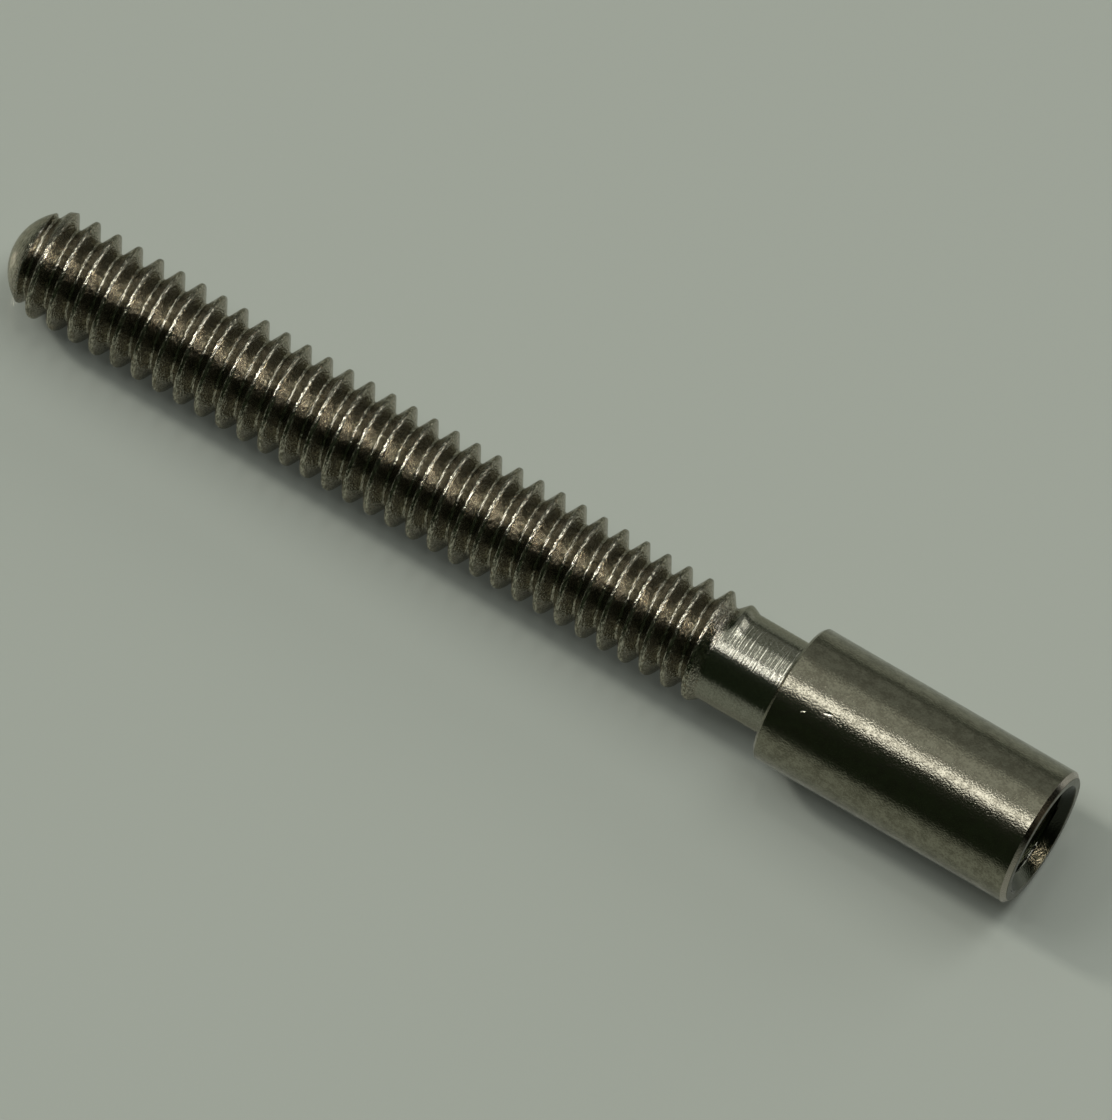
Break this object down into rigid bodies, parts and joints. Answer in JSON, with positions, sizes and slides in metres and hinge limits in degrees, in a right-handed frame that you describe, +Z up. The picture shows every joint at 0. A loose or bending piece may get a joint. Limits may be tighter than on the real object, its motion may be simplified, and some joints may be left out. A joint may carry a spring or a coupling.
{
  "type": "winding stem extension",
  "caption": "Thin threaded post with a domed tip and a plain neck, fixed in a short round sleeve whose tapped socket takes a winding stem.",
  "frame": {"origin": "centre of the socket's mouth, on the axis, in the plane of the sleeve's end face", "axes": "+X along the axis, out of the socket's mouth, so the post and its tip lie towards -X; +Z up, with the part lying on its side"},
  "size_m": [0.0121, 0.0014, 0.0016],
  "materials": {
    "turned_steel": "turned bright, fine rings round the neck, rolled thread flanks with a warm tint",
    "satin_steel": "satin, faintly mottled, with bright broken edges"
  },
  "bodies": {
    "root": {"threaded_post": "turned_steel", "socket_sleeve": "satin_steel"}
  },
  "joints": []
}
